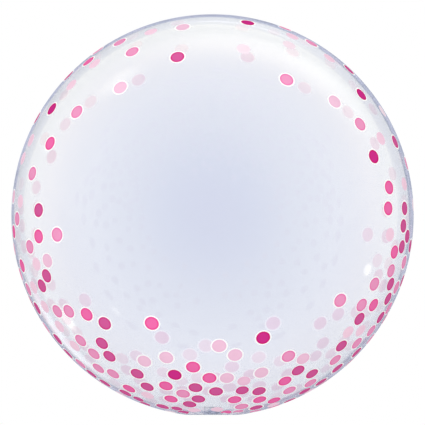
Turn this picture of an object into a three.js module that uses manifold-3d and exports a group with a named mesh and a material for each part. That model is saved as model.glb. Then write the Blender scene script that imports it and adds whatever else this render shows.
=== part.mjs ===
// A round bubble balloon of clear plastic film, 56 cm across when it is inflated.
// Units are millimetres and +Z is up. The origin is on the ground, under the balloon's middle.
// The front faces -Y. The filling neck is at the bottom and its flat tail lies along +Y.

import * as THREE from 'three';
import { mergeVertices } from 'three/addons/utils/BufferGeometryUtils.js';
import Module from 'manifold-3d';

const wasm = await Module();
wasm.setup();

// Driving dimensions
const ballRadius = 280;
const footRadius = 36; // where the tight round film meets the ground
const dimpleRadius = 17; // the hollow that the neck draws the film up into
const dimpleDepth = 11;
const pleatCount = 18; // gathers that run out from the neck
const pleatStart = 26;
const pleatEnd = 84;
const pleatDepth = 1.7;
const tailWidth = 24;
const tailThickness = 1;
const tailReach = 88; // from the neck's axis to the tail's cut end
const tailBend = 4; // inside radius where the tail turns from the neck to the ground
const weldFlare = 3.5; // how far the film spreads on each side where it joins the tail
const channelPlay = 1; // room round the tail, where the film is pushed up over it

// Facets
const segments = 72;
const dimpleRows = 4;
const footRows = 2;
const pleatRows = 8;
const lowerRows = 15; // from the gathers up to the widest line
const upperRows = 18; // from there up to the top

const sink = ballRadius - Math.sqrt(ballRadius ** 2 - footRadius ** 2);
const centreHeight = ballRadius - sink;

// Height of the true ball's underside above the ground, below zero inside the foot.
function ballHeight(radius) {
  return centreHeight - Math.sqrt(ballRadius ** 2 - radius ** 2);
}

function smoothstep(from, to, value) {
  const t = Math.min(Math.max((value - from) / (to - from), 0), 1);
  return t * t * (3 - 2 * t);
}

// How far a gather lifts the film. Every third gather is shallower than its neighbours.
function pleatLift(radius, angle) {
  const rise = smoothstep(pleatStart, footRadius + 8, radius);
  const fade = 1 - smoothstep(footRadius, pleatEnd, radius);
  const groove = 0.5 - 0.5 * Math.cos(pleatCount * angle);
  const uneven = 1 + 0.25 * Math.cos((pleatCount / 3) * angle);
  return pleatDepth * rise * fade * groove * uneven;
}

function dimpleLift(radius) {
  return (dimpleDepth + sink) * (1 - smoothstep(0, dimpleRadius, radius));
}

function undersideHeight(radius, angle) {
  return Math.max(0, ballHeight(radius) + dimpleLift(radius) + pleatLift(radius, angle));
}

// A geometry's faces as one closed solid.
function solid(geometry) {
  geometry.deleteAttribute('normal');
  geometry.deleteAttribute('uv');
  const merged = mergeVertices(geometry, 1e-4);
  const index = merged.getIndex().array;
  const faces = [];
  for (let i = 0; i < index.length; i += 3) {
    const [a, b, c] = index.slice(i, i + 3);
    if (a !== b && b !== c && c !== a) {
      faces.push(a, b, c);
    }
  }
  return new wasm.Manifold(new wasm.Mesh({
    numProp: 3,
    vertProperties: new Float32Array(merged.getAttribute('position').array),
    triVerts: new Uint32Array(faces),
  }));
}

// A point (radius, height) of the round film, at an angle up from straight down.
function ballPoint(angle) {
  return new THREE.Vector2(ballRadius * Math.sin(angle), centreHeight - ballRadius * Math.cos(angle));
}

// The balloon's section, as points (radius, height) from the dimple's middle out and up to the top.
function envelopeProfile() {
  const points = [];
  for (let i = 0; i < dimpleRows; i++) {
    points.push(new THREE.Vector2(dimpleRadius * i / dimpleRows, 0));
  }
  for (let i = 0; i < footRows; i++) {
    points.push(new THREE.Vector2(THREE.MathUtils.lerp(dimpleRadius, pleatStart, i / footRows), 0));
  }
  for (let i = 0; i < pleatRows; i++) {
    points.push(new THREE.Vector2(THREE.MathUtils.lerp(pleatStart, pleatEnd, i / pleatRows), 0));
  }
  const firstAngle = Math.asin(pleatEnd / ballRadius);
  for (let i = 0; i < lowerRows; i++) {
    points.push(ballPoint(THREE.MathUtils.lerp(firstAngle, Math.PI / 2, i / lowerRows)));
  }
  for (let i = 0; i < upperRows; i++) {
    points.push(ballPoint(THREE.MathUtils.lerp(Math.PI / 2, Math.PI, i / upperRows)));
  }
  points.push(new THREE.Vector2(0, centreHeight + ballRadius));
  return points;
}

// The tight round film, drawn up into a dimple and gathered round the neck.
function envelope() {
  const geometry = new THREE.LatheGeometry(envelopeProfile(), segments);
  geometry.rotateX(Math.PI / 2);
  const position = geometry.getAttribute('position');
  for (let i = 0; i < position.count; i++) {
    const radius = Math.hypot(position.getX(i), position.getY(i));
    if (position.getZ(i) < centreHeight / 2 && radius < pleatEnd - 1e-3) {
      const angle = Math.atan2(position.getY(i), position.getX(i));
      position.setZ(i, undersideHeight(radius, radius < 1e-3 ? 0 : angle));
    }
  }
  return solid(geometry);
}

// The neck's flat tail: down out of the dimple, round a bend, and back along the ground.
function tail() {
  const half = tailThickness / 2;
  const outerBend = tailBend + tailThickness;
  const rootTop = dimpleDepth + 1;
  const side = new THREE.Shape();
  side.moveTo(-half - weldFlare, rootTop);
  side.quadraticCurveTo(-half, rootTop - 2, -half, outerBend);
  side.absarc(outerBend - half, outerBend, outerBend, Math.PI, 1.5 * Math.PI, false);
  side.lineTo(tailReach, 0);
  side.lineTo(tailReach, tailThickness);
  side.lineTo(outerBend - half, tailThickness);
  side.absarc(outerBend - half, outerBend, tailBend, 1.5 * Math.PI, Math.PI, true);
  side.quadraticCurveTo(half, rootTop - 2, half + weldFlare, rootTop);
  side.closePath();
  const geometry = new THREE.ExtrudeGeometry(side, {
    depth: tailWidth,
    bevelEnabled: false,
    curveSegments: 5,
  });
  geometry.translate(0, 0, -tailWidth / 2);
  // The drawing's x and y become the balloon's Y and Z, and its depth becomes X.
  geometry.applyMatrix4(new THREE.Matrix4().set(0, 0, 1, 0, 1, 0, 0, 0, 0, 1, 0, 0, 0, 0, 0, 1));
  return solid(geometry);
}

// The room that the tail lies in, where the film is lifted over it.
function tailChannel() {
  const height = tailThickness + channelPlay;
  const length = pleatEnd - dimpleRadius / 2;
  const geometry = new THREE.BoxGeometry(tailWidth + 2 * channelPlay, length, height * 2);
  geometry.translate(0, dimpleRadius / 2 + length / 2, 0);
  return solid(geometry);
}

function meshGeometry(manifold) {
  const { numProp, vertProperties, triVerts } = manifold.getMesh();
  const positions = new Float32Array(triVerts.length * 3);
  triVerts.forEach((vertex, corner) => {
    for (let k = 0; k < 3; k++) {
      positions[corner * 3 + k] = vertProperties[vertex * numProp + k];
    }
  });
  const geometry = new THREE.BufferGeometry();
  geometry.setAttribute('position', new THREE.BufferAttribute(positions, 3));
  geometry.computeVertexNormals();
  return geometry;
}

const clearFilm = new THREE.MeshStandardMaterial({
  color: 0xdfe3f2,
  roughness: 0.06,
  metalness: 0,
  transparent: true,
  opacity: 0.3,
});

const balloon = new THREE.Mesh(
  meshGeometry(envelope().subtract(tailChannel()).add(tail())),
  clearFilm,
);
balloon.name = 'balloon';

const model = new THREE.Group();
model.add(balloon);

export default model;
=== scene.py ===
# A clear film bubble balloon printed with pink confetti dots, standing on its small flat spot.
# Units are metres, +Z is up and the balloon's front faces -Y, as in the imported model.

import math
import random

import bmesh
import bpy
from mathutils import Matrix, Vector, geometry, kdtree


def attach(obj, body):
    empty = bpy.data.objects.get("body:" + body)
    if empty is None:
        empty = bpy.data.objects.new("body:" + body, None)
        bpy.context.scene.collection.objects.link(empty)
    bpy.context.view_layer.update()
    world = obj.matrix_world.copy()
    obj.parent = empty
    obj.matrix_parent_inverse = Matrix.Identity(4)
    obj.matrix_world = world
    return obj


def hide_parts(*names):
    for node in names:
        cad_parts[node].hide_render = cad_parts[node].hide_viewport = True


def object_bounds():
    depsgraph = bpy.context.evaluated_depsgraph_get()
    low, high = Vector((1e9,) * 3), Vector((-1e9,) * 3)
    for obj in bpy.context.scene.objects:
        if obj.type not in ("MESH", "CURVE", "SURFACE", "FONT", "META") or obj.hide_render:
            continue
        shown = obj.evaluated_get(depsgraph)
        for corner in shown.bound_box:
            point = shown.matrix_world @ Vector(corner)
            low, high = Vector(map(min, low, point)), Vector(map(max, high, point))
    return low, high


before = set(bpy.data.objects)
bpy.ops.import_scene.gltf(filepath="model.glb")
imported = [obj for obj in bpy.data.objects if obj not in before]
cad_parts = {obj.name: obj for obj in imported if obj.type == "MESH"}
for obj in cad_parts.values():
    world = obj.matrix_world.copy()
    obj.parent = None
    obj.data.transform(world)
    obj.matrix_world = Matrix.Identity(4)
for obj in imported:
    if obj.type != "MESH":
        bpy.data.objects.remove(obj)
cad_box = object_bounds()


# ---------------------------------------------------------------------------------------------
# The film envelope's form
# One tight bubble of clear stretch film. It is a true ball except underneath, where the film
# flattens on the ground, gathers round the filling neck and is drawn up into a small hollow.

low_corner, high_corner = cad_box
ball_radius = (high_corner.x - low_corner.x) / 2
centre_height = high_corner.z - ball_radius
film_thickness = 0.0003

dimple_radius = 0.017
dimple_depth = 0.011
gather_count = 18
gather_start = 0.026
gather_end = 0.084
gather_depth = 0.0017
gather_unevenness = 0.25  # how much the gathers differ in depth from each other
channel_half_width = 0.0128  # where the film is pushed up over the flat tail
channel_height = 0.0019
channel_edge = 0.004
neck_lip = 0.0085

sink = ball_radius - centre_height
foot_radius = math.sqrt(ball_radius ** 2 - centre_height ** 2)
gather_full = foot_radius + 0.008  # where the gathers reach their full depth
gather_angle = math.asin(gather_end / ball_radius)  # measured up from straight down
slope_step = 0.002  # radians between the points that give the film's slope near the neck
slope_margin = 0.01  # how far beyond the gathers they still give it


def smoothstep(start, end, value):
    share = min(max((value - start) / (end - start), 0.0), 1.0)
    return share * share * (3 - 2 * share)


def gather_lift(radius, angle):
    rise = smoothstep(gather_start, gather_full, radius)
    fade = 1 - smoothstep(foot_radius, gather_end, radius)
    groove = 0.5 - 0.5 * math.cos(gather_count * angle)
    uneven = 1 + gather_unevenness * math.cos(gather_count / 3 * angle)
    return gather_depth * rise * fade * groove * uneven


def tail_channel(x, y):
    across = 1 - smoothstep(channel_half_width, channel_half_width + channel_edge, abs(x))
    along = smoothstep(neck_lip - channel_edge, neck_lip, y)
    return channel_height * across * along


def underside_height(x, y):
    radius = math.hypot(x, y)
    ball = centre_height - math.sqrt(ball_radius ** 2 - radius ** 2)
    dimple = (dimple_depth + sink) * (1 - smoothstep(0, dimple_radius, radius))
    resting = max(0.0, ball + dimple + gather_lift(radius, math.atan2(y, x)))
    return max(resting, tail_channel(x, y))


def film_point(direction):
    """The film's outside, in a direction from the ball's middle."""
    x, y, z = direction.normalized() * ball_radius
    if direction.z < 0 and math.hypot(x, y) < gather_end:
        return Vector((x, y, underside_height(x, y)))
    return Vector((x, y, centre_height + z))


def film_normal(direction):
    """The way the film faces there, from three points close together near the neck."""
    if direction.z > -math.cos(gather_angle + slope_margin):
        return direction.normalized()
    across = direction.orthogonal().normalized()
    beside = direction.cross(across).normalized()
    here = film_point(direction)
    slope = film_point(direction + across * slope_step) - here
    return slope.cross(film_point(direction + beside * slope_step) - here).normalized()


# ---------------------------------------------------------------------------------------------
# The confetti print's layout
# Round dots of one size, screen printed on the flat film in seven pinks before it is blown up.
# They crowd round the bottom and thin out up the sides, and leave the front and back clear.

dot_radius = 0.0104
underprint_angle = 0.0021 / ball_radius  # how far the white reaches beyond the ink
least_underprint = 0.0006 / ball_radius  # and the least, where two dots are close
dot_gap = math.radians(0.1)
outward_stretch = 0.18  # blowing up the film draws the dots out, the more the nearer the sides
sideways_stretch = -0.06
stretch_angle = math.radians(60)  # from the front's middle, where the stretch has those values
neighbour_angle = math.radians(8)  # dots further apart than this never meet

# How far apart the scattered dots keep, in degrees, and where they lie.
bottom_spacing = 5.6
side_spacing_more = 2.4
top_spacing_more = 9
side_band = (60, 120)  # degrees round, from the front
side_middle = (77, 103)  # the narrower band that is scattered above the low sides
low_sides_end = -55  # degrees up
side_bottom = -74
side_top_height = 0.97  # in ball radii above the ball's middle
side_attempts = 2600
bottom_band = (-78.6, -60)
bottom_attempts = 900
scatter_seed = 4
tail_side_angle = math.radians(15)  # how far up from the neck the tail's channel matters
tail_side_room = 1.3 * dot_radius

# Each dot's place, in degrees round from the front towards +X and degrees up, given to the
# nearest half degree.
front_dots = {
    "magenta": [
        (38, 73.5), (57, 17), (68, 37), (-70.5, 32), (18.5, -37.5), (-18, -52.5),
    ],
    "berry": [
        (-16.5, 52), (80.5, 46.5), (-60, 1.5), (-60, -17.5), (-65, -20.5), (-39.5, -32.5),
        (-45.5, -39.5), (-46, -44.5), (-37.5, -52), (-38.5, -58.5), (-9.5, -59), (-10, -66),
        (-19.5, -70), (73, 2), (72, -3), (77, -6), (72.5, -9), (70.5, -20), (73.5, -24.5),
        (58.5, -31), (76, -30.5), (57.5, -40.5), (42, -50.5), (53.5, -52), (17.5, -60.5),
        (28.5, -61), (48, -73), (77.5, 21.5), (78.5, -43), (73, -49.5), (75, -56), (71, -61),
        (-79.5, -27.5), (-78, -38), (-65, -66), (-53.5, -72), (-84.5, 44), (-86, 29),
        (-82, -43.5), (-78, -52), (-76, -56.5), (-67.5, -62), (-73, -69.5), (-40, -74),
        (-47, -78.5), (88, -31), (88, -47), (79.5, -67), (86, -19),
    ],
    "hot pink": [
        (-60, 21), (-74, 50), (62.5, 8), (61, 2), (-60.5, -6), (-78, -14.5), (67, -10.5),
        (63.5, -26.5), (-46, -29.5), (-21, -32.5), (-26, -58), (-8.5, -49), (-30.5, -66),
        (-1.5, -54), (-55, -59.5), (39.5, -55.5), (36, -66.5), (16, -66.5), (51.5, -67),
        (84, -72), (20, -78.5),
    ],
    "rose": [
        (-43.5, 54.5), (-52, 31), (-66.5, 12), (-65.5, 59.5), (73, 59), (30, 42.5), (55.5, 27),
        (-51, -5.5), (-67, -9), (-76.5, -1), (-54.5, -28.5), (-61.5, -28.5), (86, 15),
        (67.5, -16), (59, -20), (78.5, -13.5), (78.5, -21), (56, -26.5), (44.5, -25),
        (68.5, -39.5), (74.5, -35), (32, -44.5), (61.5, -46), (51, -60.5), (62, -56.5),
        (28, -72), (-53.5, -52), (-61, -49.5), (-57, -38.5), (-54.5, -43.5), (-18.5, -62.5),
        (-76.5, -47.5), (-86, -34), (-86, -17), (-84, 55), (80, 68.5), (81, -27.5),
        (85.5, -38), (36, -77.5), (73, -77),
    ],
    "pale pink": [
        (-25, 69.5), (-36.5, 39.5), (47.5, 34.5), (-57.5, -13), (-19, -45), (-29.5, -46.5),
        (40, -45.5), (23, -51.5), (2.5, -40.5), (9, -44), (7, -54), (16, -55.5),
    ],
    "blush": [
        (-67.5, 40.5), (-63.5, 49), (-49, 66), (61, 63), (69, 51.5), (65, 22.5), (75, 9),
        (-73.5, 4), (-79.5, 16.5), (62.5, -5.5), (-64.5, -14), (-72.5, -21), (-69.5, -27),
        (-66, -33.5), (-64.5, -40.5), (56, -35.5), (64, -35), (-46.5, -63.5), (-77, 22),
        (-22, -76), (5, -75),
    ],
    "faint pink": [
        (16, 56), (46, 58),
    ],
}
ink_names = list(front_dots)
inks_without_white = ("blush", "faint pink")


def on_ball(round_degrees, up_degrees):
    turn, up = math.radians(round_degrees), math.radians(up_degrees)
    return Vector((math.cos(up) * math.sin(turn), -math.cos(up) * math.cos(turn), math.sin(up)))


def spacing_wanted(up_degrees):
    """How far apart the side dots keep, in degrees: close at the bottom and far apart at the top."""
    side_share = smoothstep(-25, 10, up_degrees)
    top_share = smoothstep(15, 75, up_degrees)
    return bottom_spacing + side_spacing_more * side_share + top_spacing_more * top_share


def clear_of(dots, direction, degrees):
    nearest = math.cos(math.radians(degrees))
    return all(direction.dot(other) < nearest for other, ink in dots)


def dot_axes(direction):
    """Which way a dot is drawn out, away from the front's or back's middle, and square to it."""
    from_middle = Vector((direction.x, 0, direction.z))
    outward = from_middle - direction * from_middle.dot(direction)
    outward.normalize()
    return outward, direction.cross(outward)


def dot_reach(direction):
    """Half a dot's length along those two axes, as angles from the ball's middle."""
    from_middle = math.acos(min(1.0, abs(direction.y)))
    drawn = (from_middle / stretch_angle) ** 2
    angle = dot_radius / ball_radius
    return angle * (1 + outward_stretch * drawn), angle * (1 + sideways_stretch * drawn)


def reach_towards(direction, other):
    outward, sideways = dot_axes(direction)
    along, across = dot_reach(direction)
    way = (other - direction).normalized()
    return 1 / math.hypot(way.dot(outward) / along, way.dot(sideways) / across)


def neighbours(index, dots):
    """The other dots within reach of one: how far apart, and both dots' reach that way."""
    direction = dots[index][0]
    for i, (other, ink) in enumerate(dots):
        apart = direction.angle(other)
        if i != index and apart < neighbour_angle:
            yield i, apart, reach_towards(direction, other), reach_towards(other, direction)


def room_for(index, dots):
    """How much of its full size a dot can have without touching its neighbours."""
    share = 1.0
    for i, apart, reach, other_reach in neighbours(index, dots):
        share = min(share, (apart - 2 * least_underprint - dot_gap) / (reach + other_reach))
    return share


def white_round(index, dots):
    """How far the white under a dot reaches beyond it: less where its neighbours are close."""
    width = underprint_angle
    for i, apart, reach, other_reach in neighbours(index, dots):
        free = apart - reach * dot_room[index] - other_reach * dot_room[i] - dot_gap
        width = min(width, free / 2)
    return width


def over_tail(direction):
    """Whether a dot there would lie across the channel where the tail is tucked in."""
    beside = channel_half_width + channel_edge + tail_side_room
    low = direction.z < -math.cos(tail_side_angle)
    return low and direction.y > 0 and abs(direction.x) * ball_radius < beside


def lay_out_dots():
    """The front's dots, side dots scattered between them, and the same again on the back."""
    scatter = random.Random(scatter_seed)
    back = Matrix.Rotation(math.pi, 3, "Z")
    dots = []

    def print_pair(direction, ink):
        for way in (direction, back @ direction):
            if not over_tail(way):
                dots.append((way, ink))

    for ink, places in front_dots.items():
        for round_degrees, up_degrees in places:
            print_pair(on_ball(round_degrees, up_degrees), ink)
    bottom_height = math.sin(math.radians(side_bottom))
    for attempt in range(side_attempts):
        round_degrees = scatter.uniform(*side_band)
        up_degrees = math.degrees(math.asin(scatter.uniform(bottom_height, side_top_height)))
        ink = scatter.choice(ink_names)
        if up_degrees > low_sides_end and not side_middle[0] < round_degrees < side_middle[1]:
            continue
        direction = on_ball(round_degrees, up_degrees)
        apart = spacing_wanted(up_degrees)
        if clear_of(dots, direction, apart) and clear_of(dots, back @ direction, apart):
            print_pair(direction, ink)
    for attempt in range(bottom_attempts):
        round_degrees = scatter.uniform(-90, 90)
        up_degrees = scatter.uniform(*bottom_band)
        ink = scatter.choice(ink_names)
        direction = on_ball(round_degrees, up_degrees)
        behind = back @ direction
        if clear_of(dots, direction, bottom_spacing) and clear_of(dots, behind, bottom_spacing):
            print_pair(direction, ink)
    return dots


dots = lay_out_dots()
dot_room = [room_for(index, dots) for index in range(len(dots))]
dot_white = [white_round(index, dots) for index in range(len(dots))]


# ---------------------------------------------------------------------------------------------
# The film's materials
# The film is clear with a cool cast. Each dot is a flat layer of opaque ink over a slightly
# wider layer of white, so it has a fine white rim outside and looks pale from the inside.


def new_material(name):
    material = bpy.data.materials.new(name)
    material.use_nodes = True
    nodes = material.node_tree.nodes
    shader = nodes["Principled BSDF"]
    return material, nodes, material.node_tree.links, shader


print_drift_scale = 60  # how fine the unevenness of the printed layers is


def make_uneven_group():
    """A colour that drifts softly between two shades over the surface."""
    group = bpy.data.node_groups.new("uneven_layer", "ShaderNodeTree")
    face = group.interface
    for name in ("Thin", "Thick"):
        face.new_socket(name, in_out="INPUT", socket_type="NodeSocketColor")
    face.new_socket("Scale", in_out="INPUT", socket_type="NodeSocketFloat")
    face.new_socket("Color", in_out="OUTPUT", socket_type="NodeSocketColor")
    face.new_socket("Height", in_out="OUTPUT", socket_type="NodeSocketFloat")
    nodes, links = group.nodes, group.links
    inputs = nodes.new("NodeGroupInput")
    outputs = nodes.new("NodeGroupOutput")
    place = nodes.new("ShaderNodeTexCoord")
    drift = nodes.new("ShaderNodeTexNoise")
    drift.inputs["Detail"].default_value = 2
    drift.inputs["Roughness"].default_value = 0.4
    blend = nodes.new("ShaderNodeMix")
    blend.data_type = "RGBA"
    links.new(place.outputs["Object"], drift.inputs["Vector"])
    links.new(inputs.outputs["Scale"], drift.inputs["Scale"])
    links.new(drift.outputs["Fac"], blend.inputs["Factor"])
    links.new(inputs.outputs["Thin"], blend.inputs["A"])
    links.new(inputs.outputs["Thick"], blend.inputs["B"])
    links.new(blend.outputs["Result"], outputs.inputs["Color"])
    links.new(drift.outputs["Fac"], outputs.inputs["Height"])
    return group


uneven_layer = make_uneven_group()


def place_uneven(nodes, thin, thick, scale):
    node = nodes.new("ShaderNodeGroup")
    node.node_tree = uneven_layer
    node.inputs["Thin"].default_value = (*thin, 1)
    node.inputs["Thick"].default_value = (*thick, 1)
    node.inputs["Scale"].default_value = scale
    return node


def make_clear_film():
    """Clear film with a cool cast, very slightly wavy."""
    material, nodes, links, shader = new_material("clear_film")
    tint = place_uneven(nodes, (0.858, 0.872, 0.94), (0.845, 0.86, 0.93), 5)
    shader.inputs["Transmission Weight"].default_value = 1
    shader.inputs["IOR"].default_value = 1.45
    shader.inputs["Roughness"].default_value = 0.03
    waves = nodes.new("ShaderNodeBump")
    waves.inputs["Strength"].default_value = 0.03
    waves.inputs["Distance"].default_value = 0.02
    links.new(tint.outputs["Color"], shader.inputs["Base Color"])
    links.new(tint.outputs["Height"], waves.inputs["Height"])
    links.new(waves.outputs["Normal"], shader.inputs["Normal"])
    return material


def make_ink(name, colour):
    """Ink as it shows outside: a little uneven, and darker round its edge than in its middle, partly as
    denser ink and partly as a painted reflection that lightens the middle.
    """
    material, nodes, links, shader = new_material(name.replace(" ", "_") + "_ink")
    lighter = [min(1, channel * 1.04) for channel in colour]
    darker = [channel * 0.93 for channel in colour]
    # The darker rim is partly denser ink and partly painted reflection: the middle is left lighter, as a
    # gloss on the ink would make it.
    paleness = min(1, 0.3 + 0.55 * colour[1] + colour[1] ** 2)
    rim_ink_and_painted_gloss = (colour[0] * 0.97, colour[1] * paleness, colour[2] * (0.5 + 0.5 * paleness))
    body = place_uneven(nodes, lighter, darker, print_drift_scale)
    edge = nodes.new("ShaderNodeAttribute")
    edge.attribute_name = "ink_edge"
    edge_share = nodes.new("ShaderNodeMapRange")
    edge_share.interpolation_type = "SMOOTHSTEP"
    edge_share.inputs["From Min"].default_value = 0.1
    edge_share.inputs["From Max"].default_value = 0.85
    rim_mix_ink_and_painted_gloss = nodes.new("ShaderNodeMix")
    rim_mix_ink_and_painted_gloss.data_type = "RGBA"
    rim_mix_ink_and_painted_gloss.inputs["B"].default_value = (*rim_ink_and_painted_gloss, 1)
    links.new(edge.outputs["Fac"], edge_share.inputs["Value"])
    links.new(edge_share.outputs["Result"], rim_mix_ink_and_painted_gloss.inputs["Factor"])
    links.new(body.outputs["Color"], rim_mix_ink_and_painted_gloss.inputs["A"])
    links.new(rim_mix_ink_and_painted_gloss.outputs["Result"], shader.inputs["Base Color"])
    shader.inputs["Roughness"].default_value = 0.5
    shader.inputs["Specular IOR Level"].default_value = 0
    return material


def make_ink_inside(name, colour):
    """The same dot from inside the balloon, where the ink only tints the white under it."""
    material, nodes, links, shader = new_material(name.replace(" ", "_") + "_inside")
    shade = [0.85 + 0.09 * colour[1], 0.67 + 0.19 * colour[1], 0.76 + 0.14 * colour[2]]
    darker = [channel * 0.96 for channel in shade]
    body = place_uneven(nodes, shade, darker, print_drift_scale)
    links.new(body.outputs["Color"], shader.inputs["Base Color"])
    shader.inputs["Roughness"].default_value = 0.6
    shader.inputs["Specular IOR Level"].default_value = 0.1
    return material


def make_underprint(name, thin, thick):
    """The layer of white under the dots, which shows as a fine rim round each."""
    material, nodes, links, shader = new_material(name)
    body = place_uneven(nodes, thin, thick, print_drift_scale)
    links.new(body.outputs["Color"], shader.inputs["Base Color"])
    shader.inputs["Roughness"].default_value = 0.5
    shader.inputs["Specular IOR Level"].default_value = 0.2
    return material


ink_colours = {
    "magenta": (0.63, 0.032, 0.25),
    "berry": (0.67, 0.11, 0.33),
    "hot pink": (0.89, 0.16, 0.42),
    "rose": (0.88, 0.335, 0.56),
    "pale pink": (0.90, 0.56, 0.72),
    "blush": (0.96, 0.66, 0.79),
    "faint pink": (0.95, 0.78, 0.86),
}
film_materials = [
    make_clear_film(),
    make_underprint("white_underprint", (1.0, 1.0, 1.0), (0.97, 0.98, 0.98)),
    make_underprint("white_inside", (0.94, 0.93, 0.97), (0.91, 0.90, 0.95)),
]
for ink in ink_names:
    film_materials += [make_ink(ink, ink_colours[ink]), make_ink_inside(ink, ink_colours[ink])]


# ---------------------------------------------------------------------------------------------
# The film envelope's mesh
# Two skins, the film's outside and inside, sewn from points laid over the whole ball. Every dot
# is cut into both skins as rings of points, so that its edge is a true circle.

edge_points = 24
inner_points = 12
inner_share = 0.62
fill_count = 11000
fill_clearance = math.radians(0.5)
neck_angle = math.radians(7.6)  # inside this the skin is plain rings round the neck
neck_rings = 12
neck_ring_points = 144
gather_rows = 12  # rings of points over the gathers
gather_overlap = 1.04  # the even points start this far beyond them
same_place = 1e-7  # points closer than this on the flat layout are sewn as one


def ring_round(middle, angle, count):
    across = middle.orthogonal().normalized()
    beside = middle.cross(across)
    for i in range(count):
        turn = math.tau * i / count
        rim = across * math.cos(turn) + beside * math.sin(turn)
        yield middle * math.cos(angle) + rim * math.sin(angle)


def dot_ring(index, share, extra, count):
    """A ring of points round a dot, at a share of its size and an extra angle beyond."""
    middle = dots[index][0]
    outward, sideways = dot_axes(middle)
    along, across = (reach * dot_room[index] * share + extra for reach in dot_reach(middle))
    for i in range(count):
        turn = math.tau * i / count
        rim = outward * math.tan(along) * math.cos(turn) + sideways * math.tan(across) * math.sin(turn)
        yield (middle + rim).normalized()


straight_down = Vector((0, 0, -1))


def skin_points():
    """Points over the ball outside the neck, as (direction, whose dot, which ring of it)."""
    neck_edge = ring_round(straight_down, neck_angle, neck_ring_points)
    points = [(direction, None, None) for direction in neck_edge]
    circles = []
    dot_tree = kdtree.KDTree(len(dots))
    for index, (middle, ink) in enumerate(dots):
        dot_tree.insert(middle, index)
        points.append((middle, index, 0))
        rings = (
            (inner_share, 0, inner_points, 0),
            (1, 0, edge_points, 1),
            (1, dot_white[index], edge_points, 2),
        )
        for share, extra, count, ring in rings:
            first = len(points)
            points += [(point, index, ring) for point in dot_ring(index, share, extra, count)]
            circles += [(first + i, first + (i + 1) % count) for i in range(count)]
    dot_tree.balance()

    def add_if_free(direction):
        index = dot_tree.find(direction)[1]
        middle = dots[index][0]
        reach = reach_towards(middle, direction) * dot_room[index] + dot_white[index]
        if middle.angle(direction) > reach + fill_clearance:
            points.append((direction, None, None))

    golden_turn = math.pi * (3 - math.sqrt(5))
    for i in range(fill_count):
        up = 1 - (2 * i + 1) / fill_count
        flat = math.sqrt(1 - up * up)
        if up > -math.cos(gather_angle * gather_overlap):
            turn = golden_turn * i
            add_if_free(Vector((flat * math.cos(turn), flat * math.sin(turn), up)))
    for row in range(1, gather_rows + 1):
        angle = neck_angle + (gather_angle - neck_angle) * row / gather_rows
        for direction in ring_round(straight_down, angle, neck_ring_points):
            add_if_free(direction)
    return points, circles


def face_finish(triangle, points):
    """A face's finish, as (outside material, inside material), from the dot its corners share."""
    owners = {points[corner][1] for corner in triangle}
    if len(owners) > 1 or None in owners:
        return 0, 0
    ink = dots[owners.pop()][1]
    if max(points[corner][2] for corner in triangle) == 2:
        return (0, 0) if ink in inks_without_white else (1, 2)
    place = 3 + 2 * ink_names.index(ink)
    return place, place + 1


def sew_skin():
    """The whole ball's points and triangles: the printed part sewn flat, then the neck's rings."""
    points, circles = skin_points()
    flat = [Vector((way.x, way.y)) / (1 + way.z) for way, dot, ring in points]  # circles stay round
    sewn = geometry.delaunay_2d_cdt(flat, circles, [], 0, same_place)
    triangles = [[sewn[3][corner][0] for corner in face] for face in sewn[2]]
    last_ring = list(range(neck_ring_points))
    for row in range(neck_rings - 1, 0, -1):
        first = len(points)
        angle = neck_angle * row / neck_rings
        points += [(way, None, None) for way in ring_round(straight_down, angle, neck_ring_points)]
        ring = list(range(first, first + neck_ring_points))
        for i in range(neck_ring_points):
            j = (i + 1) % neck_ring_points
            triangles += [[last_ring[i], last_ring[j], ring[j]], [last_ring[i], ring[j], ring[i]]]
        last_ring = ring
    points.append((straight_down, None, None))
    for i in range(neck_ring_points):
        triangles.append([last_ring[i], last_ring[(i + 1) % neck_ring_points], len(points) - 1])
    return points, triangles


def build_envelope():
    points, triangles = sew_skin()
    outside, inside, out_normals, in_normals, edge = [], [], [], [], []
    for direction, dot, ring in points:
        place, normal = film_point(direction), film_normal(direction)
        outside.append(place)
        inside.append(place - normal * film_thickness)
        out_normals.append(normal)
        in_normals.append(-normal)
        edge.append(1.0 if ring in (1, 2) else 0.0)
    faces, finishes = [], []
    for triangle in triangles:
        outer_finish, inner_finish = face_finish(triangle, points)
        faces.append(triangle)
        finishes.append(outer_finish)
        faces.append([corner + len(points) for corner in reversed(triangle)])
        finishes.append(inner_finish)

    mesh = bpy.data.meshes.new("balloon_film")
    mesh.from_pydata(outside + inside, [], faces)
    for material in film_materials:
        mesh.materials.append(material)
    mesh.polygons.foreach_set("material_index", finishes)
    ink_edge = mesh.attributes.new("ink_edge", "FLOAT", "POINT")
    ink_edge.data.foreach_set("value", edge + edge)
    mesh.shade_smooth()
    mesh.normals_split_custom_set_from_vertices(out_normals + in_normals)
    envelope = bpy.data.objects.new("balloon_film", mesh)
    bpy.context.collection.objects.link(envelope)
    envelope.visible_shadow = False  # clear film throws no shadow to speak of
    envelope.visible_diffuse = False
    return envelope


envelope = build_envelope()
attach(envelope, "root")
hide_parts("balloon")


# ---------------------------------------------------------------------------------------------
# The filling tail
# The neck's flat tail: two layers of the same film sealed along both edges and once across,
# which comes down out of the hollow, turns back under the balloon and ends in a straight cut.

tail_width = 0.024
tail_thickness = 0.001
tail_reach = 0.088
tail_bend = 0.0045  # from the tail's middle to the centre of its bend
tail_top = 0.0112
sealed_edge = 0.0018
edge_half_thickness = 0.00018  # of the two layers where they are sealed
cross_seal = (0.066, 0.072)  # how far out the seal across the tail starts and ends
seal_half_thickness = 0.0002
seal_ridge = 0.0001
ridge_spacing = 0.0012
slackness = 0.25  # how much thinner the loose layers get between their bulges
weld_spread = 0.003  # how far the tail spreads where it joins the hollow
tail_columns = 40
tail_step = 0.0006


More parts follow.
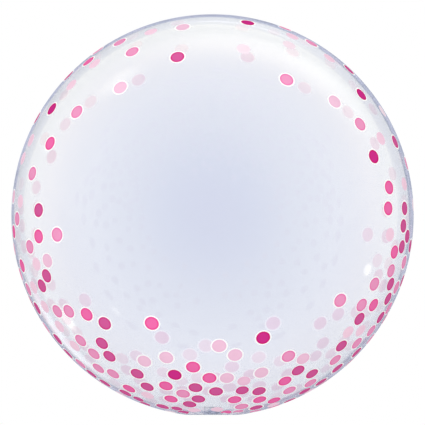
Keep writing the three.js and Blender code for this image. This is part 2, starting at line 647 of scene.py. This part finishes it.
def tail_line():
    """The tail's middle line from the hollow to its cut end, as (y, z, way it runs)."""
    line = []
    turn_height = tail_thickness / 2 + tail_bend
    count = round((tail_top - turn_height) / tail_step)
    for i in range(count):
        line.append((0.0, tail_top - (tail_top - turn_height) * i / count, -math.pi / 2))
    count = round(tail_bend * math.pi / 2 / tail_step)
    for i in range(count):
        turn = math.pi / 2 * i / count
        y = tail_bend * (1 - math.cos(turn))
        z = turn_height - tail_bend * math.sin(turn)
        line.append((y, z, turn - math.pi / 2))
    count = round((tail_reach - tail_bend) / tail_step)
    for i in range(count + 1):
        line.append((tail_bend + (tail_reach - tail_bend) * i / count, tail_thickness / 2, 0.0))
    return line


def tail_half_thickness(x, y, z):
    """Half the tail's thickness: thin at the sealed edges and seal, spread where it joins."""
    from_edge = tail_width / 2 - abs(x)
    loft = smoothstep(0, sealed_edge, from_edge)
    half = edge_half_thickness + (tail_thickness / 2 - edge_half_thickness) * loft
    start, end = cross_seal
    if start < y < end:
        ridge = 0.5 + 0.5 * math.cos(math.tau * (y - start) / ridge_spacing)
        half = seal_half_thickness + seal_ridge * ridge
    bulge = 0.5 + 0.5 * math.sin(x * 900) * math.cos(y * 160 + x * 300)
    half *= 1 - slackness * loft * bulge
    return half + weld_spread * smoothstep(tail_top - weld_spread, tail_top, z) * loft


def build_tail():
    line = tail_line()
    loop = 2 * tail_columns
    points, faces = [], []
    for y, z, run in line:
        away = Vector((0, -math.sin(run), math.cos(run)))
        for i in range(loop):
            column = i if i <= tail_columns else loop - i
            x = -math.cos(math.pi * column / tail_columns) * tail_width / 2
            side = 0 if column in (0, tail_columns) else (1 if i < tail_columns else -1)
            half = tail_half_thickness(x, y, z)
            points.append(Vector((x, y, z)) + away * half * side)
    for row in range(len(line) - 1):
        for i in range(loop):
            a, b = row * loop + i, row * loop + (i + 1) % loop
            faces.append((a, b, b + loop, a + loop))
    faces.append(list(range(loop - 1, -1, -1)))
    last = (len(line) - 1) * loop
    faces.append([last + i for i in range(loop)])
    mesh = bpy.data.meshes.new("filling_tail")
    mesh.from_pydata(points, [], faces)
    mesh.shade_smooth()
    tail = bpy.data.objects.new("filling_tail", mesh)
    bpy.context.collection.objects.link(tail)
    check = bmesh.new()
    check.from_mesh(mesh)
    bmesh.ops.recalc_face_normals(check, faces=check.faces)
    check.to_mesh(mesh)
    check.free()
    return tail


def make_tail_film():
    """Two layers of the film lying together, a little milky."""
    material, nodes, links, shader = new_material("tail_film")
    tint = place_uneven(nodes, (0.78, 0.80, 0.88), (0.72, 0.75, 0.85), 90)
    shader.inputs["Transmission Weight"].default_value = 1
    shader.inputs["IOR"].default_value = 1.45
    shader.inputs["Roughness"].default_value = 0.18
    waves = nodes.new("ShaderNodeBump")
    waves.inputs["Strength"].default_value = 0.3
    waves.inputs["Distance"].default_value = 0.001
    links.new(tint.outputs["Color"], shader.inputs["Base Color"])
    links.new(tint.outputs["Height"], waves.inputs["Height"])
    links.new(waves.outputs["Normal"], shader.inputs["Normal"])
    return material


tail = build_tail()
tail.data.materials.append(make_tail_film())
tail.visible_shadow = False
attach(tail, "root")
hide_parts("balloon")


# ---------------------------------------------------------------------------------------------
# The setting
# A wide pale floor in an even white surround, lit by one wide soft lamp in front. The gloss
# mirrors a tent of soft light, darker towards the rim, with faint panels of light in it.

middle = Vector((0, 0, centre_height))


def build_floor():
    """A pale floor that reaches out of sight, which the film neither mirrors nor shows."""
    half = 40
    mesh = bpy.data.meshes.new("studio_floor")
    corners = [(-half, -half, 0), (half, -half, 0), (half, half, 0), (-half, half, 0)]
    mesh.from_pydata(corners, [], [(0, 1, 2, 3)])
    floor = bpy.data.objects.new("studio_floor", mesh)
    bpy.context.collection.objects.link(floor)
    material, nodes, links, shader = new_material("white_floor")
    shader.inputs["Base Color"].default_value = (0.86, 0.86, 0.87, 1)
    shader.inputs["Roughness"].default_value = 0.9
    shader.inputs["Specular IOR Level"].default_value = 0
    mesh.materials.append(material)
    floor.visible_glossy = False
    floor.visible_transmission = False


def make_panel_group():
    """A soft oval panel of light far off in one direction, as a mask over every direction."""
    group = bpy.data.node_groups.new("soft_panel", "ShaderNodeTree")
    face = group.interface
    for name in ("Way", "Middle", "Long Axis"):
        face.new_socket(name, in_out="INPUT", socket_type="NodeSocketVector")
    for name in ("Half Length", "Half Width", "Softness"):
        face.new_socket(name, in_out="INPUT", socket_type="NodeSocketFloat")
    face.new_socket("Mask", in_out="OUTPUT", socket_type="NodeSocketFloat")
    nodes, links = group.nodes, group.links
    inputs = nodes.new("NodeGroupInput")
    outputs = nodes.new("NodeGroupOutput")

    def vector_math(operation, first, second, result="Value"):
        node = nodes.new("ShaderNodeVectorMath")
        node.operation = operation
        links.new(first, node.inputs[0])
        links.new(second, node.inputs[1])
        return node.outputs[result]

    def plain_math(operation, first, second=None):
        node = nodes.new("ShaderNodeMath")
        node.operation = operation
        links.new(first, node.inputs[0])
        if second is not None:
            links.new(second, node.inputs[1])
        return node.outputs["Value"]

    way, middle, long_axis = (inputs.outputs[name] for name in ("Way", "Middle", "Long Axis"))
    short_axis = vector_math("CROSS_PRODUCT", middle, long_axis, "Vector")
    along = plain_math("DIVIDE", vector_math("DOT_PRODUCT", way, long_axis), inputs.outputs["Half Length"])
    across = plain_math("DIVIDE", vector_math("DOT_PRODUCT", way, short_axis), inputs.outputs["Half Width"])
    along_squared = plain_math("MULTIPLY", along, along)
    across_squared = plain_math("MULTIPLY", across, across)
    from_middle = plain_math("SQRT", plain_math("ADD", along_squared, across_squared))
    ahead = nodes.new("ShaderNodeMath")
    ahead.operation = "GREATER_THAN"
    ahead.inputs[1].default_value = 0
    links.new(vector_math("DOT_PRODUCT", way, middle), ahead.inputs[0])
    inner = nodes.new("ShaderNodeMath")
    inner.operation = "SUBTRACT"
    inner.inputs[0].default_value = 1
    links.new(inputs.outputs["Softness"], inner.inputs[1])
    fade = nodes.new("ShaderNodeMapRange")
    fade.interpolation_type = "SMOOTHSTEP"
    fade.inputs["To Min"].default_value = 1
    fade.inputs["To Max"].default_value = 0
    fade.inputs["From Max"].default_value = 1
    links.new(inner.outputs["Value"], fade.inputs["From Min"])
    links.new(from_middle, fade.inputs["Value"])
    links.new(plain_math("MULTIPLY", fade.outputs["Result"], ahead.outputs["Value"]), outputs.inputs["Mask"])
    return group


# Each panel: its middle's direction, the way its length runs, half length, half width, how soft
# its edge is and how much light it adds.
soft_panels = [
    ((0.56, 0.53, 0.64), (0.75, 0.0, -0.66), 0.5, 0.34, 1.0, 1.2),  # a broad glow, upper right
    ((0.16, 0.47, 0.87), (1.0, 0.0, 0.0), 0.68, 0.46, 1.0, 1.3),  # along the top
    ((0.1, 0.8545, 0.51), (1.0, 0.0, 0.0), 0.22, 0.04, 0.6, 0.9),  # a fine line in the top rim
    ((-0.54, 0.33, 0.77), (0.8, 0.0, 0.56), 0.22, 0.19, 1.0, 1.6),  # a soft spot, upper left
    ((0.89, 0.335, -0.31), (-0.29, 0.95, 0.1), 0.085, 0.05, 0.6, 3.1),  # a small oval, right
    ((-0.663, 0.581, -0.473), (0.58, 0.0, -0.81), 0.078, 0.11, 0.5, 2.8),  # a leaf, left
    ((-0.415, 0.855, -0.31), (0.58, 0.0, -0.81), 0.26, 0.16, 0.7, 2.0),  # in the lower left rim
    ((-0.711, -0.09, -0.697), (0.7, 0.0, -0.7), 0.07, 0.06, 0.8, 1.5),  # a faint spot, low left
    ((0.1, 0.87, 0.49), (1.0, 0.0, 0.0), 0.45, 0.3, 0.8, 0.9),  # in the top rim
    ((-0.886, -0.18, 0.4265), (0.43, 0.0, 0.9), 0.08, 0.06, 0.8, 0.6),  # a faint spot, left
    ((0.0, 0.48, -0.88), (1.0, 0.0, 0.0), 1.7, 0.5, 1.0, -0.8),  # the dim floor behind
]


def build_surround():
    """White all round to the eye. What the gloss mirrors is dim in front, bright at the sides,
    dim again behind, and darkest of all in a ring that falls on the balloon's rim."""
    world = bpy.data.worlds.new("studio")
    bpy.context.scene.world = world
    world.use_nodes = True
    nodes, links = world.node_tree.nodes, world.node_tree.links
    background = nodes["Background"]
    way = nodes.new("ShaderNodeTexCoord")
    split = nodes.new("ShaderNodeSeparateXYZ")
    links.new(way.outputs["Generated"], split.inputs["Vector"])

    tent_axis = nodes.new("ShaderNodeVectorMath")
    tent_axis.operation = "DOT_PRODUCT"
    tent_axis.inputs[1].default_value = Vector((0.05, 1, -0.12)).normalized()
    links.new(way.outputs["Generated"], tent_axis.inputs[0])
    to_share = nodes.new("ShaderNodeMapRange")
    to_share.inputs["From Min"].default_value = -1
    links.new(tent_axis.outputs["Value"], to_share.inputs["Value"])
    tent = nodes.new("ShaderNodeValToRGB")
    stops = [
        (0.0, (0.18, 0.235, 0.38)),
        (0.04, (0.25, 0.34, 0.44)),
        (0.16, (0.57, 0.62, 0.55)),
        (0.36, (0.84, 0.85, 0.69)),
        (0.64, (0.96, 0.89, 0.68)),
        (0.81, (0.75, 0.74, 0.60)),
        (0.856, (0.69, 0.68, 0.57)),
        (0.866, (0.53, 0.53, 0.47)),
        (0.90, (0.44, 0.445, 0.43)),
        (1.0, (0.41, 0.42, 0.43)),
    ]
    ramp = tent.color_ramp.elements
    while len(ramp) < len(stops):
        ramp.new(0.5)
    for element, (place, colour) in zip(ramp, stops):
        element.position = place
        element.color = (*colour, 1)
    links.new(to_share.outputs["Result"], tent.inputs["Fac"])

    rim_axis = nodes.new("ShaderNodeVectorMath")
    rim_axis.operation = "DOT_PRODUCT"
    rim_axis.inputs[1].default_value = Vector((0.055, 1, -0.055)).normalized()
    links.new(way.outputs["Generated"], rim_axis.inputs[0])
    rim_share = nodes.new("ShaderNodeMapRange")
    rim_share.interpolation_type = "SMOOTHSTEP"
    rim_share.inputs["From Min"].default_value = 0.917
    rim_share.inputs["From Max"].default_value = 0.934
    links.new(rim_axis.outputs["Value"], rim_share.inputs["Value"])
    outer_share = nodes.new("ShaderNodeMapRange")
    outer_share.interpolation_type = "SMOOTHSTEP"
    outer_share.inputs["From Min"].default_value = 0.925
    outer_share.inputs["From Max"].default_value = 0.962
    links.new(split.outputs["Y"], outer_share.inputs["Value"])
    rim_shade = nodes.new("ShaderNodeMix")
    rim_shade.data_type = "RGBA"
    rim_shade.inputs["A"].default_value = (0.15, 0.17, 0.23, 1)
    rim_shade.inputs["B"].default_value = (0.29, 0.31, 0.39, 1)
    links.new(outer_share.outputs["Result"], rim_shade.inputs["Factor"])
    rim = nodes.new("ShaderNodeMix")
    rim.data_type = "RGBA"
    links.new(rim_shade.outputs["Result"], rim.inputs["B"])
    links.new(rim_share.outputs["Result"], rim.inputs["Factor"])
    links.new(tent.outputs["Color"], rim.inputs["A"])

    overhead = nodes.new("ShaderNodeMapRange")
    overhead.interpolation_type = "SMOOTHSTEP"
    overhead.inputs["From Min"].default_value = -0.9
    overhead.inputs["From Max"].default_value = 0.6
    overhead.inputs["To Min"].default_value = 1.25
    overhead.inputs["To Max"].default_value = 2.2
    links.new(split.outputs["Z"], overhead.inputs["Value"])
    light = None
    panel_group = make_panel_group()
    for middle_way, long_way, half_length, half_width, softness, strength in soft_panels:
        panel_middle = Vector(middle_way).normalized()
        long_axis = Vector(long_way)
        long_axis -= panel_middle * long_axis.dot(panel_middle)
        panel = nodes.new("ShaderNodeGroup")
        panel.node_tree = panel_group
        panel.inputs["Middle"].default_value = panel_middle
        panel.inputs["Long Axis"].default_value = long_axis.normalized()
        panel.inputs["Half Length"].default_value = half_length
        panel.inputs["Half Width"].default_value = half_width
        panel.inputs["Softness"].default_value = softness
        links.new(way.outputs["Generated"], panel.inputs["Way"])
        add = nodes.new("ShaderNodeMath")
        add.operation = "MULTIPLY_ADD"
        add.inputs[1].default_value = strength
        add.inputs[2].default_value = 0
        links.new(panel.outputs["Mask"], add.inputs[0])
        if light is not None:
            links.new(light, add.inputs[2])
        light = add.outputs["Value"]
    path = nodes.new("ShaderNodeLightPath")
    inside_images = nodes.new("ShaderNodeMapRange")  # the far film's images of the panels are weak
    inside_images.inputs["From Max"].default_value = 2
    inside_images.inputs["To Min"].default_value = 1
    inside_images.inputs["To Max"].default_value = 0.1
    links.new(path.outputs["Transmission Depth"], inside_images.inputs["Value"])
    panel_light = nodes.new("ShaderNodeMath")
    panel_light.operation = "MULTIPLY_ADD"
    links.new(light, panel_light.inputs[0])
    links.new(inside_images.outputs["Result"], panel_light.inputs[1])
    links.new(overhead.outputs["Result"], panel_light.inputs[2])
    brighter = nodes.new("ShaderNodeVectorMath")
    brighter.operation = "SCALE"
    links.new(rim.outputs["Result"], brighter.inputs["Vector"])
    links.new(panel_light.outputs["Value"], brighter.inputs["Scale"])

    backdrop = nodes.new("ShaderNodeMapRange")
    backdrop.interpolation_type = "SMOOTHSTEP"
    backdrop.inputs["From Min"].default_value = 0.6
    backdrop.inputs["From Max"].default_value = 0.9
    backdrop.inputs["To Min"].default_value = 0.84
    links.new(split.outputs["Y"], backdrop.inputs["Value"])

    mirrored = nodes.new("ShaderNodeMath")
    mirrored.operation = "MINIMUM"
    seen = nodes.new("ShaderNodeMath")
    seen.operation = "MAXIMUM"
    links.new(path.outputs["Is Glossy Ray"], seen.inputs[0])
    links.new(path.outputs["Is Transmission Ray"], seen.inputs[1])
    links.new(path.outputs["Glossy Depth"], mirrored.inputs[0])
    links.new(seen.outputs["Value"], mirrored.inputs[1])
    choose = nodes.new("ShaderNodeMix")
    choose.data_type = "RGBA"
    links.new(mirrored.outputs["Value"], choose.inputs["Factor"])
    links.new(backdrop.outputs["Result"], choose.inputs["A"])
    links.new(brighter.outputs["Vector"], choose.inputs["B"])
    links.new(choose.outputs["Result"], background.inputs["Color"])


def add_key_light():
    """One wide soft light above the front, which lights the floor and the print."""
    lamp = bpy.data.lights.new("key_light", "AREA")
    lamp.shape = "DISK"
    lamp.size = 2.4
    lamp.energy = 22
    key = bpy.data.objects.new("key_light", lamp)
    bpy.context.collection.objects.link(key)
    key.location = middle + Vector((-0.15, -2.25, 0.65))
    key.rotation_euler = (middle - key.location).to_track_quat("-Z", "Y").to_euler()
    key.visible_camera = False
    key.visible_glossy = False
    key.visible_transmission = False


def add_camera():
    """Level with the ball's middle and straight in front of it, with no perspective."""
    distance = 3
    outline_share = 0.9466  # the ball's width as a share of the view's width
    camera = bpy.data.cameras.new("camera")
    camera.type = "ORTHO"
    camera.ortho_scale = 2 * ball_radius / outline_share
    camera.shift_x = -0.0001
    camera.shift_y = 0.0068
    camera.clip_end = 200
    holder = bpy.data.objects.new("camera", camera)
    bpy.context.collection.objects.link(holder)
    holder.location = middle + Vector((0, -distance, 0))
    holder.rotation_euler = (math.radians(90), 0, 0)
    bpy.context.scene.camera = holder


build_floor()
build_surround()
add_key_light()
add_camera()
bpy.context.scene.view_settings.view_transform = "Standard"
